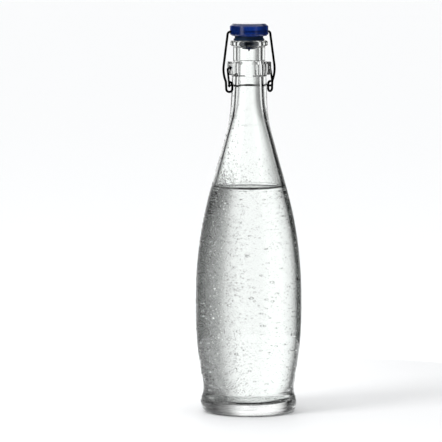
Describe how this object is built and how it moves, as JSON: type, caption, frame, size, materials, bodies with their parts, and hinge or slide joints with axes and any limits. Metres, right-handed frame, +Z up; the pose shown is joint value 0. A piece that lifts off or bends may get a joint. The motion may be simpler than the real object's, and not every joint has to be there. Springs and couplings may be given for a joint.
{
  "type": "swing top bottle",
  "caption": "Tall clear glass bottle with a waisted foot, a thick-walled neck and a hinged wire closure that clamps a blue stopper and rubber gasket on its mouth.",
  "frame": {"origin": "middle of the foot's resting plane, under the bottle's axis", "axes": "+Z up along the bottle's axis; X along the closure's pivot line through the two lugs; +Y towards the lever's half loop, so the stopper leans towards -Y as it opens"},
  "size_m": [0.0908, 0.0908, 0.3352],
  "materials": {
    "clear_glass": "clear soda-lime glass, fire polished",
    "blue_plastic": "moulded translucent cobalt blue plastic",
    "dark_rubber": "satin moulded rubber",
    "dark_wire": "dark drawn spring wire"
  },
  "bodies": {
    "bottle": {"bottle_glass": "clear_glass"},
    "lever": {"lever_wire": "dark_wire"},
    "bail": {"bail_wire": "dark_wire"},
    "stopper": {"stopper_head": "blue_plastic", "gasket": "dark_rubber"}
  },
  "joints": [
    {"name": "lever_swing", "type": "hinge", "parent": "bottle", "child": "lever", "pos_m": [0, 0, 0.2972], "axis": [1, 0, 0], "range_deg": [0, 88]},
    {"name": "bail_swing", "type": "hinge", "parent": "lever", "child": "bail", "pos_m": [0, -0.0016, 0.2818], "axis": [1, 0, 0], "range_deg": [-60.8, 0]},
    {"name": "stopper_tilt", "type": "hinge", "parent": "bail", "child": "stopper", "pos_m": [0, 0, 0.3282], "axis": [1, 0, 0], "range_deg": [-27.3, 0]}
  ],
  "couplings": [
    {"joint": "bail_swing", "follows": "lever_swing", "ratio": -0.69},
    {"joint": "stopper_tilt", "follows": "lever_swing", "ratio": -0.31}
  ]
}
